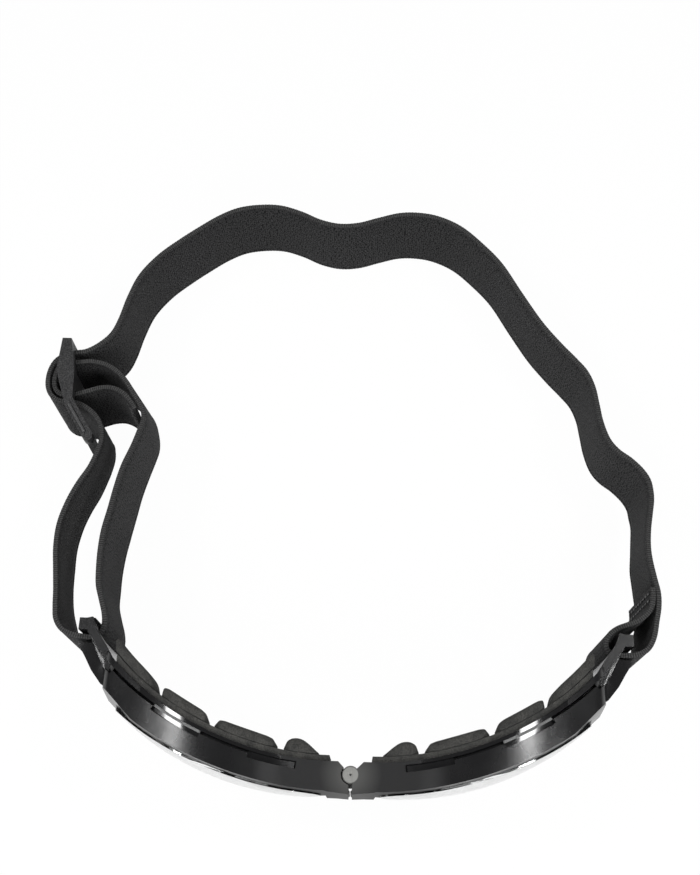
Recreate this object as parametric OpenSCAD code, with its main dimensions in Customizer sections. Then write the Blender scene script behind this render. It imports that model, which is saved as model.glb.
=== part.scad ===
// Folding sports goggles: two framed lenses on a bridge hinge, foam pads and an elastic strap.
// Y runs from the lenses back to the strap, Z is up, and right is towards +X, in millimetres.
// The hinge pin stands at the middle of the bridge, and every piece is placed from it.

/* [Placing] */
// X of the hinge pin
hinge_x = 7.15; // [6:0.05:8]
// Y of the hinge pin
hinge_y = -103.3; // [-104:0.05:-102]

/* [Frame] */
// X of the centre of each frame's plan arc, from the pin
arc_x = 8.2; // [7.6:0.1:8.8]
// Y of the foremost point of the front edge, from the pin
front_y = -4.6; // [-5:0.1:-4]
// Radius of the front top edge in plan
front_r = 92.2; // [91.7:0.1:92.7]
// Depth of the rim from its front edge to its foam flange
rim_depth = 7.8; // [7.4:0.1:8.6]
// Height at which both radii hold
brow_z = 57; // [55:0.5:59]
// Angle by which each half flares outwards towards the foot
flare = 10.5; // [9:0.5:12]
// How far the front draws in towards the foot of the lens
front_lean = 4.6; // [4:0.1:5.2]
// How far the foam face draws in towards the foot of the lens
rear_lean = 2.4; // [1.8:0.1:3]
// Bulge of the front between brow and foot
front_bulge = 1.8; // [1.2:0.1:2.4]
// Width of the rim around the eye opening, seen from the front
rim_w = 6.5; // [6:0.1:7]
// Wall outside the hollow of the rim
rim_wall = 2.4; // [2:0.1:2.8]
// Thickness of the front and foam flanges of the rim
flange_t = 1.6; // [1.2:0.1:2]
// Gap between the two frame halves at the bridge
bridge_gap = 1; // [0.8:0.05:1.4]
// How far the bridge stands forward of the pin
bridge_front = 5.4; // [5.2:0.1:5.8]

/* [Vents] */
// Thickness of the fence that stands along the foam edge
fence_t = 0.8; // [0.6:0.05:1]
// Width of the narrow slits beside the fence
slit_w = 0.8; // [0.6:0.05:1]
// Width of the ledges beside the fence
vent_w = 2; // [1.6:0.05:2.4]
// Width of the open vents in the middle ledges
open_w = 0.6; // [0.4:0.05:0.8]
// Depth of the narrow slits
slit_depth = 2; // [1.4:0.1:2.2]
// Depth of the ledges at the bridge, in the middle and at the temple
ledge_depth = 1.1; // [0.8:0.1:1.6]

/* [Hinge] */
// Radius of the hinge knuckles
knuckle_r = 2.5; // [2.3:0.05:2.6]
// Radius of the hinge pin
pin_r = 0.95; // [0.8:0.05:1.1]
// Radial clearance of the pin in its bore
pin_fit = 0.04; // [0.02:0.01:0.08]
// Gap round and between the knuckles
knuckle_gap = 0.3; // [0.2:0.05:0.4]
// Height of the lower end of the hinge
hinge_z = 36.4; // [35.5:0.1:37]
// Height of the middle knuckle
middle_h = 4.6; // [4:0.1:5]
// Height of the upper and lower knuckles
outer_h = 4.4; // [4:0.1:4.8]
// Radius of the moulding hole in the top of the hinge
core_hole_r = 0.3; // [0.25:0.05:0.4]
// Largest angle between the folded halves and the open ones
fold_max = 90; // [80:1:92]

/* [Lenses] */
// Thickness of a lens
lens_t = 2; // [1.8:0.1:2.4]
// How far a lens laps the rim all round
lens_lap = 1.8; // [1.4:0.1:2.2]
// How far a lens stands proud of the rim
lens_proud = 0.5; // [0.3:0.1:0.7]
// Clearance of a lens in its seat
lens_fit = 0.12; // [0.08:0.01:0.2]

/* [Foam] */
// Thickness of the foam base
base_t = 1.7; // [1.4:0.1:2]
// Depth of the pads on the base
pad_depth = 3; // [2.4:0.1:3.4]
// Depth of the nose pads
nose_pad_depth = 3.3; // [3:0.1:4]
// X of the bridge end of the foam base
foam_start_x = 6.2; // [5.5:0.1:7]
// X of the temple end of the foam base
foam_end_x = 71.4; // [70:0.1:72]
// Set-in of the foam from the edges of the rim
foam_inset = 0.7; // [0.5:0.1:1]
// Gap between glued or seated faces
seat_gap = 0.05; // [0.03:0.01:0.1]

/* [Strap] */
// Width of the elastic strap
strap_w = 30; // [28:0.5:31]
// Thickness of the elastic strap
strap_t = 1.6; // [1.4:0.05:1.8]
// Height of the strap's lower edge at the frame
strap_lift = 14; // [12:0.5:15]
// Gap between two stretches of strap where it flexes
flex_gap = 0.9; // [0.8:0.01:0.95]
// Clearance of the strap in every slot, each side
slot_fit = 0.6; // [0.4:0.05:0.8]
// Width of the strap slots in the frames
slot_w = 3.6; // [3.4:0.1:3.8]
// Y of the near wall of the strap slots
slot_y = 37.1; // [36.9:0.1:37.3]
// Inner side of the strap bars, from the pin
bar_x = 80.3; // [80:0.1:80.6]
// Width of the strap bars
bar_w = 4.9; // [4.5:0.1:5.1]
// Depth of the strap bars
bar_d = 3.7; // [3.4:0.1:4]
// Height of the arms above and below the strap slots
cap_h = 3.4; // [3:0.1:4]
// Width of the lower arm
arm_w = 3.8; // [3.4:0.1:4.2]

/* [Slider] */
// Height of the slider rails above and below the strap
rail_h = 3.4; // [3:0.1:3.6]
// Thickness of the slider in its middle
slider_t = 4.2; // [4:0.1:4.4]
// Thickness of the slider at its ends
slider_end_t = 3.2; // [2.8:0.1:3.4]
// How much wider the slider rails are than its bars
rail_swell = 1; // [0.6:0.1:1.2]

/* [Hidden] */
$fn = 96;
steps = 3;
rear_r = front_r - rim_depth;
arc_y = front_r + front_y;
top = 75;
deep = 60;
end_y = slot_y + slot_w + bar_d;
lug_z = strap_lift - slot_fit - cap_h;
lug_h = strap_w + 2 * slot_fit + 2 * cap_h;
// Lower end of the turned faces, well below the foot of the rim
foot = -13;

// Outline of a rim seen from the front, from the bridge over the brow and round the temple
RIM = [[-7, 47.8], [3, 51.1], [12, 54], [24, 57.2], [36, 58.8], [48, 58.3], [59, 55.6], [69, 51.8],
       [74.9, 48.3], [75.9, 39], [75.6, 27], [73, 16], [67, 8.6], [58, 3.2], [47, 0], [36, 0],
       [26.5, 2.8], [19.5, 9.5], [14.5, 18], [10, 27], [4, 33.5], [-7, 36.4]];
// Corner of the eye opening beside the bridge
EYE_NOSE = [10.4, 41.5];

// Front view of the ear, whose top slopes from the brow down to the strap
EAR_FRONT = [[88, 0], [66, 0], [66, 50.6], [72, 49.2], [75.6, 47.2], [79.2, 45.4], [82.6, 43.9],
             [88, 42.6]];

// Angles, from the bridge, of the steps in the top wall: ledge, slit, vented ledge, slit, ledge
STEP_ANGLES = [4.6, 14, 23.9, 34.5, 45.8, 55];

// Foam pads: first and last place along the rim, and which are nose pads
PADS = [[-0.25, 0.6], [0.72, 2.3], [2.42, 3.8], [3.9, 5.1], [8.75, 9.85], [10, 12.9],
        [13.1, 15], [15.2, 17.1]];
PAD_NAMES = ["nose", "brow", "middle", "temple", "corner", "cheek", "lower_nose", "nose_side"];

// Height of the strap's lower edge through the slider, as a share of strap_lift
at_slider = 0.286;

// Strap route, from the sewn end at the right frame round to the sewn end at the slider:
// X and Y from the pin, height of the lower edge as a share of strap_lift, lean of the lower edge
RIGHT_END = [[93.2, 60.5, 0.96, 0], [93.1, 57.2, 0.97, 0], [92.2, 53.9, 0.98, 0]];
RIGHT_LOOP = [[90, 51.2, 1, 0], [87.4, 49.4, 1, 0], [84.4, 48.2, 1, 0], [81, 46.8, 1, 0],
    [78.4, 44.6, 1, 0], [77.3, 41.6, 1, 0], [78.6, 39.1, 1, 0], [82.4, 38.6, 1, 0],
    [86.6, 39, 1, 0], [90, 40.8, 1, 0]];
RIGHT_SIDE = [[92.2, 44.4, 1, 0], [93.6, 49.8, 0.98, 0], [94.7, 54.5, 0.95, 0],
    [95, 59, 0.92, 0.5], [94.4, 64, 0.87, 1], [93.8, 70, 0.8, 1.5], [93.7, 75, 0.76, 1.5],
    [94.5, 81, 0.68, 1.5], [95.8, 87, 0.6, 1], [96.9, 92, 0.53, 0.5], [97.2, 96, 0.47, 0],
    [96.8, 100, 0.42, 0]];
RIGHT_REAR = [[95, 103.8, 0.37, 0], [91.8, 107.7, 0.32, 0], [87.8, 111.4, 0.26, 0],
    [85, 116, 0.2, 0], [83.3, 123, 0.12, 0], [82.5, 130, 0.07, 0], [81.6, 137, 0.03, 0]];
RIGHT_CORNER = [[79.5, 143, 0.01, 0], [76, 147.8, 0, 0], [70.4, 154.4, 0, 0], [64, 163, 0, 0]];
BACK_RIGHT = [[57, 175, 0, 0], [50, 187.5, 0, 0], [42.5, 196.5, 0, 0], [35, 203.5, 0, 0],
    [27, 207.6, 0, 0], [19.5, 209.1, 0, 0], [12, 208.8, 0, 0]];
BACK_SEAM = [[4, 206.4, 0, 0], [-3.5, 203.9, 0, 0]];
BACK_MIDDLE = [[-11, 203.2, 0, 0], [-18.5, 204.9, 0, 0], [-26, 208.4, 0, 0]];
BACK_LEFT = [[-34, 210.9, 0, 0], [-42, 211, 0, 0], [-50, 209.4, 0, 0], [-57, 205.7, 0, 0],
    [-64, 200.4, 0, 0], [-71, 194.4, 0.01, 0], [-78.2, 187, 0.05, 0]];
REAR_LEFT = [[-84, 178, 0.1, 0], [-87, 168, 0.17, 0], [-89, 158, 0.22, 0],
    [-91.2, 151.6, 0.25, 0], [-95, 147, 0.28, 0]];
SLIDER_PASS = [[-99.2, 144.2, at_slider, 0], [-103, 143.4, at_slider, 0], [-106.6, 142.4, at_slider, 0],
    [-109.6, 140, at_slider, 0], [-111.1, 136.6, at_slider, 0], [-111.5, 132.8, at_slider, 0],
    [-111, 129.2, at_slider, 0], [-109.3, 126.2, at_slider, 0], [-106.6, 124.4, at_slider, 0],
    [-103.4, 123.9, at_slider, 0]];
OUTER_STRAND = [[-100, 123.5, at_slider, 0], [-97, 122.2, 0.29, 0], [-93.8, 119.8, 0.3, 0.6],
    [-91.2, 116.6, 0.33, -0.9], [-89.8, 113, 0.36, -2], [-89.2, 109.4, 0.4, -3],
    [-89.7, 105.4, 0.43, -3.3], [-91.4, 98.6, 0.5, -3.3], [-94.3, 92, 0.57, -2.8],
    [-96.6, 85, 0.64, -2.3], [-98, 77, 0.72, -1.7], [-97.7, 69, 0.8, -1.5],
    [-96.3, 61, 0.88, -2.1], [-95, 54, 0.95, -2]];
LEFT_LOOP = [[-94.2, 48.4, 1, -0.8], [-93.4, 44.4, 1, 0], [-91.2, 41.4, 1, 0],
    [-88, 39.9, 1, 0], [-84.4, 39.2, 1, 0], [-81, 39.2, 1, 0], [-78.8, 40.6, 1, 0],
    [-78.1, 43.4, 1, 0]];
INNER_STRAND = [[-78.6, 46.8, 1, 0], [-80.2, 51.4, 0.98, 0], [-81.8, 56, 0.94, 0.2],
    [-82.6, 61.5, 0.89, 0.6], [-83.1, 68, 0.83, 0.8], [-83.1, 75, 0.76, 1],
    [-82.2, 83, 0.68, 0.9], [-81.4, 91, 0.6, 1], [-80.2, 99, 0.52, 0.7],
    [-78, 107, 0.44, 0], [-76.6, 113.6, 0.37, 0], [-75.9, 117.6, 0.34, 0],
    [-76.6, 121.2, 0.31, 0.5], [-78.6, 124.8, 0.3, 1.7], [-81.2, 128.6, at_slider, 3],
    [-83.6, 132.2, at_slider, 3], [-87, 136, at_slider, 1.6], [-91.4, 138.8, at_slider, 0]];
SLIDER_LOOP = [[-96.6, 140, at_slider, 0], [-101, 139.6, at_slider, 0], [-104.4, 139.2, at_slider, 0],
    [-107, 138.3, at_slider, 0], [-108.6, 136.4, at_slider, 0], [-109.1, 133.4, at_slider, 0],
    [-108.9, 130.4, at_slider, 0], [-107.6, 127.9, at_slider, 0], [-105, 126.6, at_slider, 0],
    [-101, 126.9, at_slider, 0], [-97, 128.2, at_slider, 0], [-93, 129.6, at_slider, 0],
    [-89.2, 129.9, at_slider, 0], [-85.8, 128.8, at_slider, 0], [-83, 126.8, at_slider, 0],
    [-80.9, 124.2, at_slider, 0], [-79.3, 121.8, at_slider, 0]];
STRETCHES = [RIGHT_END, RIGHT_LOOP, RIGHT_SIDE, RIGHT_REAR, RIGHT_CORNER, BACK_RIGHT, BACK_SEAM,
    BACK_MIDDLE, BACK_LEFT, REAR_LEFT, SLIDER_PASS, OUTER_STRAND, LEFT_LOOP, INNER_STRAND,
    SLIDER_LOOP];
STRAP_NAMES = ["right_end", "right_loop", "right_side", "right_rear", "right_corner",
    "back_right", "back_seam", "back_middle", "back_left", "rear_left", "slider_pass",
    "outer_strand", "left_loop", "inner_strand", "slider_loop"];
ROUTE = [for (part = STRETCHES) each part];

// Slider seen from above: its upper end, its bend and its lower end
SLIDER_TOP = [-105.6, 146.8];
SLIDER_BEND = [-103.2, 121.6];
SLIDER_FOOT = [-93.4, 109];
// Openings beside the slider's bars, each from one Y to another, the first open at its end
SLIDER_SLOTS = [[100, 129.2], [136.4, 144.2]];
// Y at which the slider's lower rail ends
LOWER_RAIL_END = 117;

// Curves through points

function spline(a, b, c, d, t) =
    0.5 * (2 * b + (c - a) * t + (2 * a - 5 * b + 4 * c - d) * t * t
           + (3 * b - a - 3 * c + d) * t * t * t);

function wrap(pts, i) = pts[(i + 4 * len(pts)) % len(pts)];

function ring_at(pts, s) = let (i = floor(s))
    spline(wrap(pts, i - 1), wrap(pts, i), wrap(pts, i + 1), wrap(pts, i + 2), s - i);

function ring_curve(pts) = [for (i = [0:len(pts) - 1], k = [0:steps - 1])
    let (p = ring_at(pts, i + k / steps)) [p.x, max(p.y, 0)]];

function ring_normal(pts, s) = let (d = ring_at(pts, s + 0.05) - ring_at(pts, s - 0.05))
    [-d.y, d.x] / norm(d);

function grown(pts, w) = [for (i = [0:len(pts) - 1]) pts[i] + w * ring_normal(pts, i)];

// Rim outline, eye opening and the lines between them

EYE = concat([for (i = [2:19]) RIM[i] - rim_w * ring_normal(RIM, i)], [EYE_NOSE]);
PAD_LINE = grown(EYE, rim_w / 2 - foam_inset / 2);

module outline(pts) polygon(ring_curve(pts));

// Extrudes a front view back through the frame
module through(y0 = -20) translate([0, y0 + deep, 0]) rotate([90, 0, 0]) linear_extrude(deep)
    children();

// Side profile of the rim between the foam face, moved by back, and the front, moved by fore
function front_mid() = [front_r - front_lean / 2, brow_z / 2];
front_chord = norm([front_lean, brow_z]);
front_curve_r = (front_chord * front_chord / 8 + front_bulge * front_bulge / 2) / front_bulge;
front_axis = front_mid()
    - (front_curve_r - front_bulge) * [brow_z, -front_lean] / front_chord;

function rear_at(z) = rear_r - (brow_z - z) * rear_lean / brow_z;

module behind(fore) intersection() {
    translate(front_axis) circle(front_curve_r + fore, $fn = 720);
    translate([20, foot]) square([100, top - foot]);
}

module ahead(back) polygon([[rear_at(foot) + back, foot], [130, foot], [130, top],
                            [rear_at(top) + back, top]]);

// Stands a turned shape on the axis of the half, which leans in over the nose at its top
module on_axis() translate([arc_x, arc_y, brow_z]) rotate([0, -flare, 0])
    translate([0, 0, -brow_z]) children();

module revolved() on_axis() rotate_extrude($fn = 180) children();

module rim_band(back, fore) revolved() intersection() {
    behind(fore);
    ahead(back);
}

// Sector of a ring round the plan arc's centre, angles from the bridge
module sector(r0, r1, a0, a1) on_axis() rotate(a0 - 90)
    rotate_extrude(angle = a1 - a0, $fn = 180) translate([r0, foot]) square([r1 - r0, top - foot]);

// The right half of the frame; the left is its mirror image but for the knuckles

module top_skin(depth) through() difference() {
    outline(grown(RIM, 1));
    outline(grown(RIM, -depth));
}

module lug_skin(depth) translate([RIM[8].x, slot_y - 20, lug_z + lug_h - depth]) cube([20, 40, 9]);

module vent_cut(i, width, depth) intersection() {
    sector(rear_r + fence_t, rear_r + fence_t + width, STEP_ANGLES[i], STEP_ANGLES[i + 1]);
    translate([0, -20, lug_z + lug_h - depth]) cube([100, 80, top]);
    union() {
        top_skin(depth);
        if (i == 4) lug_skin(depth);
    }
}

module vent_cuts() {
    for (i = [0, 2, 4]) vent_cut(i, vent_w, ledge_depth);
    for (i = [1, 3]) vent_cut(i, slit_w, slit_depth);
    vent_cut(2, open_w, rim_w + 1);
}

// Arm that carries the foot of the bar past the inner end of the slot
module arm_plan() polygon([[bar_x + 1.2 - arm_w - 1.4, slot_y - 1], [bar_x + 1.2, slot_y - 1],
    [bar_x + 1.2, end_y], [bar_x, end_y + 0.4], [bar_x - 1.4, end_y - 0.6],
    [bar_x + 1.2 - arm_w, end_y - 3.4]]);

// Ear that joins the rim to the slot, its inner side starting at y on the rim
module ear_plan(y) polygon([[72, y], [72, 22], [76.2, 24.2], [80, 28.6], [83.2, 33.6],
    [bar_x + bar_w + 0.4, slot_y], [bar_x - 3.7, slot_y], [72.6, y + 1]]);

module ear() intersection() {
    translate([0, 0, lug_z]) linear_extrude(lug_h) ear_plan(25.6);
    through() polygon(EAR_FRONT);
}

// Ridge that carries the top of the bar, over the inner part of the ear
module ridge_plan() polygon([[72.4, 31], [74, 26.6], [77.6, 32], [82.2, slot_y + slot_w],
    [82.4, end_y - 0.4], [bar_x + 0.4, end_y], [79.2, slot_y + slot_w], [75.4, 35.6]]);

module lug() {
    top_z = lug_z + lug_h;
    ear();
    translate([0, 0, top_z - cap_h]) linear_extrude(cap_h) ridge_plan();
    translate([0, 0, lug_z]) linear_extrude(lug_h) intersection() {
        ridge_plan();
        translate([60, 0]) square([40, slot_y]);
    }
    translate([0, 0, lug_z]) linear_extrude(cap_h) arm_plan();
    translate([bar_x, slot_y + slot_w, lug_z]) cube([bar_w, bar_d, lug_h - cap_h / 2]);
}

module bridge_block() intersection() {
    translate([0, 0, 30]) linear_extrude(30) polygon([[bridge_gap / 2, -bridge_front],
        [7, -4.9], [9, -2], [9, 3.2], [bridge_gap / 2, 3.2]]);
    through() outline(RIM);
}

// Room behind the pin that the other half folds into
module fold_room(r) difference() {
    linear_extrude(top) polygon([[0, 0], [40, 40 * tan(90 - fold_max / 2 - 1)], [40, 60],
        [-1, 60], [-1, 0]]);
    cylinder(r = r, h = top);
}

// Takes the front corner of the rim back at the temple, places from the plan arc's centre
module temple_cut() on_axis() translate([0, 0, foot]) linear_extrude(top - foot)
    polygon([[55, -74.2], [65.1, -63.6], [75.2, -53], [120, -53], [120, -120], [55, -120]]);

module half_frame() difference() {
    union() {
        difference() {
            intersection() {
                rim_band(0, 0);
                through() outline(RIM);
            }
            temple_cut();
        }
        lug();
        bridge_block();
    }
    through(-19) outline(EYE);
    intersection() {
        rim_band(flange_t, -lens_t - flange_t);
        through() outline(grown(EYE, rim_w - rim_wall));
    }
    difference() {
        intersection() {
            through() outline(grown(EYE, lens_lap + lens_fit));
            translate([0, -20, 0]) cube([100, 100, top]);
        }
        rim_band(-50, lens_proud - lens_t - lens_fit);
    }
    vent_cuts();
    translate([-49 + bridge_gap / 2, -20, -1]) cube([49, 80, top]);
    fold_room(knuckle_r);
}

function knuckle_z(i) = hinge_z + (i > 0 ? outer_h + knuckle_gap : 0)
    + (i > 1 ? middle_h + knuckle_gap : 0);
function knuckle_h(i) = i == 1 ? middle_h : outer_h;
knuckle_top = knuckle_z(2) + outer_h;

module knuckle(i) translate([0, 0, knuckle_z(i)]) {
    cylinder(r = knuckle_r, h = knuckle_h(i));
    translate([0, -knuckle_r + 0.6, 0]) cube([knuckle_r + 1, knuckle_r, knuckle_h(i)]);
}

// Space that a knuckle of the other half turns in
module knuckle_room(i) translate([0, 0, knuckle_z(i) - (i == 0 ? 9 : knuckle_gap)])
    cylinder(r = knuckle_r + knuckle_gap, h = knuckle_h(i) + (i == 1 ? 2 * knuckle_gap : 9));

module pin_bore(h) translate([0, 0, hinge_z - 1]) cylinder(r = pin_r + pin_fit, h = h);

module end_stop() translate([bridge_gap / 2, -bridge_front + 0.8, knuckle_z(0) + 1])
    cylinder(r = bridge_gap / 2 - 0.08, h = knuckle_top - knuckle_z(0) - 2, $fn = 32);

module placed() translate([hinge_x, hinge_y, 0]) children();

module frame_right() placed() color("#1b1b1c") {
    difference() {
        union() {
            difference() {
                half_frame();
                knuckle_room(1);
            }
            for (i = [0, 2]) knuckle(i);
            end_stop();
        }
        pin_bore(knuckle_top - 1.2 - hinge_z + 1);
        translate([0, 0, hinge_z]) cylinder(r = core_hole_r, h = 20, $fn = 24);
    }
}

module frame_left() placed() color("#1b1b1c") mirror([1, 0, 0]) {
    difference() {
        union() {
            difference() {
                half_frame();
                for (i = [0, 2]) knuckle_room(i);
            }
            knuckle(1);
            end_stop();
        }
        pin_bore(20);
    }
}

module hinge_pin() placed() color("#b4b6b8") translate([0, 0, hinge_z + 0.4])
    cylinder(r = pin_r, h = knuckle_top - 1.2 - hinge_z - 0.6);

module lens() color("#dfe5e8", 0.5) intersection() {
    difference() {
        rim_band(-50, lens_proud);
        rim_band(-60, lens_proud - lens_t);
    }
    through() outline(grown(EYE, lens_lap));
}

module lens_right() placed() lens();

module lens_left() placed() mirror([1, 0, 0]) lens();

// Foam

module foam_band() revolved() polygon([[rear_at(foot) - base_t, foot],
    [rear_at(foot) - seat_gap, foot], [rear_at(top) - seat_gap, top],
    [rear_at(top) - base_t, top]]);

module foam_base() color("#3a3b3c") difference() {
    intersection() {
        foam_band();
        through() outline(grown(RIM, -foam_inset));
        translate([foam_start_x, -deep / 2, 0]) cube([foam_end_x - foam_start_x, 2 * deep, top]);
    }
    through(-19) outline(EYE);
    fold_room(0.1);
}

module foam_base_right() placed() foam_base();

module foam_base_left() placed() mirror([1, 0, 0]) foam_base();

function power(v, e) = sign(v) * pow(abs(v), e);

// Point of a pad: along the rim, across it, and away from the base
function pad_point(c, n, across, away) = let (
        p = c + across * n,
        q = (p.x - arc_x) * cos(flare) + (p.y - brow_z) * sin(flare),
        h = brow_z + (p.y - brow_z) * cos(flare) - (p.x - arc_x) * sin(flare),
        r = rear_at(h) - base_t - seat_gap - away)
    [p.x, arc_y - sqrt(r * r - q * q), p.y];

function pad_rings(s0, s1, depth, count = 10, sides = 12) = [for (i = [0:count]) let (
        u = 1 - 2 * i / count,
        swell = pow(1 - pow(abs(u), 4.5) * 0.985, 0.4),
        s = (s0 + s1) / 2 - (s1 - s0) / 2 * power(u, 0.8),
        c = ring_at(PAD_LINE, s),
        n = ring_normal(PAD_LINE, s))
    [for (k = [0:sides - 1]) let (a = 180 * k / (sides - 1))
        pad_point(c, n, (rim_w - foam_inset) / 2 * swell * power(cos(a), 0.45),
                  depth * swell * power(sin(a), 0.5))]];

// Solid skinned over rings of points, each ring listed the same way round
module skin(rings) {
    m = len(rings[0]);
    last = len(rings) - 1;
    polyhedron(points = [for (ring = rings) each ring],
        faces = concat([[for (k = [0:m - 1]) k]],
            [for (i = [0:last - 1], k = [0:m - 1]) let (a = i * m + k, b = i * m + (k + 1) % m)
                each [[a, a + m, b], [b, a + m, b + m]]],
            [[for (k = [m - 1:-1:0]) last * m + k]]));
}

module pad(i) color("#444546") skin(pad_rings(PADS[i][0], PADS[i][1],
    i == 0 || i == 7 ? nose_pad_depth : pad_depth));

module pad_right(i) placed() pad(i);

module pad_left(i) placed() mirror([1, 0, 0]) pad(i);

// Strap

function count_before(k) = k == 0 ? 0 : len(STRETCHES[k - 1]) + count_before(k - 1);
function route_at(s) = let (last = len(ROUTE) - 1, i = min(floor(s), last - 1))
    spline(ROUTE[max(i - 1, 0)], ROUTE[i], ROUTE[i + 1], ROUTE[min(i + 2, last)], s - i);
function route_side(s) = let (last = len(ROUTE) - 1,
        d = route_at(min(s + 0.05, last)) - route_at(max(s - 0.05, 0)))
    [-d.y, d.x] / norm([d.x, d.y]);

function band_ring(s) = let (
        p = route_at(s),
        n = route_side(s),
        low = max(p[2], 0) * strap_lift,
        leaning = [p.x + p[3], p.y])
    [for (c = [[-1, 0], [1, 0], [1, 1], [-1, 1]]) let (
            base = (1 - c[1]) * leaning + c[1] * [p.x, p.y],
            q = base + c[0] * strap_t / 2 * n)
        [q.x, q.y, low + c[1] * strap_w]];

// Stretch k of the strap, short of its neighbours by half the flexing gap at each end
module stretch(k) {
    first = count_before(k);
    last = min(count_before(k + 1), len(ROUTE) - 1);
    start_gap = k == 0 ? 0 : flex_gap / 2 / norm(route_at(first + 0.5) - route_at(first)) / 2;
    end_gap = k == len(STRETCHES) - 1 ? 0
        : flex_gap / 2 / norm(route_at(last - 0.5) - route_at(last)) / 2;
    fine = 2;
    placed() color("#262729") skin([for (j = [0:(last - first) * fine])
        band_ring(first + max(start_gap, min(j / fine, last - first - end_gap)))]);
}

// Rows of thread beside the route at s, on the face at side
module thread_rows(s, side, rows) {
    p = route_at(s);
    n = route_side(s);
    off = strap_t / 2 + 3 * seat_gap + 0.15;
    placed() color("#2f3032") translate([p.x + side * off * n.x, p.y + side * off * n.y,
                                p[2] * strap_lift])
        rotate(atan2(n.y, n.x)) for (r = [0:rows - 1], k = [0:8])
            translate([-0.15, (r - (rows - 1) / 2) * 2.4 - 0.3, 1.6 + k * (strap_w - 5) / 8])
                cube([0.3, 0.6, 1.8]);
}

module stitches_right() thread_rows(0.9, -1, 2);

module stitches_slider() thread_rows(len(ROUTE) - 2, -1, 2);

// Slider

// The slider from above, its rails wider than its bars by swell
module slider_plan(swell) {
    middle = (SLIDER_TOP + SLIDER_BEND) / 2;
    polygon([SLIDER_TOP + [-slider_end_t / 2, 0], SLIDER_TOP + [slider_end_t / 2, 0],
        middle + [slider_t / 2 + swell, 0], SLIDER_BEND + [slider_t / 2 + swell / 2, 2],
        SLIDER_FOOT + [slider_end_t / 2, 1], SLIDER_FOOT + [-slider_end_t / 2, -0.6],
        SLIDER_BEND + [0.4, -1], middle - [slider_t / 2 + (1 + swell) * 0.6, 0]]);
    translate(SLIDER_FOOT) circle(r = slider_end_t / 2);
}

module slider() placed() color("#222324")
    translate([0, 0, at_slider * strap_lift - slot_fit - rail_h]) {
        slider_h = strap_w + 2 * slot_fit + 2 * rail_h;
        translate([0, 0, slider_h - rail_h]) linear_extrude(rail_h) slider_plan(rail_swell);
        difference() {
            linear_extrude(rail_h) slider_plan(rail_swell);
            translate([SLIDER_BEND.x - 20, 0, -1]) cube([40, LOWER_RAIL_END, 2 * rail_h]);
        }
        difference() {
            linear_extrude(slider_h) slider_plan(0);
            translate([SLIDER_BEND.x - 20, 0, -1]) cube([40, LOWER_RAIL_END, slider_h - rail_h + 1]);
            for (s = SLIDER_SLOTS) translate([SLIDER_BEND.x - 20, s[0], rail_h])
                cube([40, s[1] - s[0], strap_w + 2 * slot_fit]);
        }
    }

frame_left();
frame_right();
hinge_pin();
lens_left();
lens_right();
foam_base_left();
foam_base_right();
pad_left(0);  // foam_nose_left
pad_right(0);  // foam_nose_right
pad_left(1);  // foam_brow_left
pad_right(1);  // foam_brow_right
pad_left(2);  // foam_middle_left
pad_right(2);  // foam_middle_right
pad_left(3);  // foam_temple_left
pad_right(3);  // foam_temple_right
pad_left(4);  // foam_corner_left
pad_right(4);  // foam_corner_right
pad_left(5);  // foam_cheek_left
pad_right(5);  // foam_cheek_right
pad_left(6);  // foam_lower_nose_left
pad_right(6);  // foam_lower_nose_right
pad_left(7);  // foam_nose_side_left
pad_right(7);  // foam_nose_side_right
stretch(0);  // strap_right_end
stretch(1);  // strap_right_loop
stretch(2);  // strap_right_side
stretch(3);  // strap_right_rear
stretch(4);  // strap_right_corner
stretch(5);  // strap_back_right
stretch(6);  // strap_back_seam
stretch(7);  // strap_back_middle
stretch(8);  // strap_back_left
stretch(9);  // strap_rear_left
stretch(10);  // strap_slider_pass
stretch(11);  // strap_outer_strand
stretch(12);  // strap_left_loop
stretch(13);  // strap_inner_strand
stretch(14);  // strap_slider_loop
slider();
stitches_right();
stitches_slider();
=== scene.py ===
import math

import bpy
from mathutils import Matrix, Vector


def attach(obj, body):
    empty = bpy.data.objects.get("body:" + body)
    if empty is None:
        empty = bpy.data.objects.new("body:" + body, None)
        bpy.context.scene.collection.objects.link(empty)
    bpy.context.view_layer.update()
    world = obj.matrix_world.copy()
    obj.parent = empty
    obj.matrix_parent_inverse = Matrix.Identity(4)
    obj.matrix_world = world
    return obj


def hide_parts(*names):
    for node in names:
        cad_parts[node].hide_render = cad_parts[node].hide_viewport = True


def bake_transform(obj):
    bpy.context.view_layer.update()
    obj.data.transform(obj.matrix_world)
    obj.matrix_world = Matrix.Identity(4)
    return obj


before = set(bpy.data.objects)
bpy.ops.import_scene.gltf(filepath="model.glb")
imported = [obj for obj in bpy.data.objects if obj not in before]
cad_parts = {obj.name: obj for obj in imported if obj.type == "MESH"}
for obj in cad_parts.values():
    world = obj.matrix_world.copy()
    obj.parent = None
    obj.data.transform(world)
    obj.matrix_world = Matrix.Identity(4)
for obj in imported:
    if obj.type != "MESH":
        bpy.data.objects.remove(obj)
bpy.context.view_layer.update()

# Camera
# It stands above and in front of the lenses and looks down and back over the strap,
# turned a little to the left and rolled by less than a degree.
CAMERA_PLACE = (0.009853, -0.138171, 0.371)
CAMERA_HEADING = math.radians(2.6)
CAMERA_PITCH = math.radians(23.72)
CAMERA_ROLL = math.radians(-0.745)
CAMERA_LENS = 44.02
SENSOR_WIDTH = 36
NEAREST_SEEN = 0.01

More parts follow.
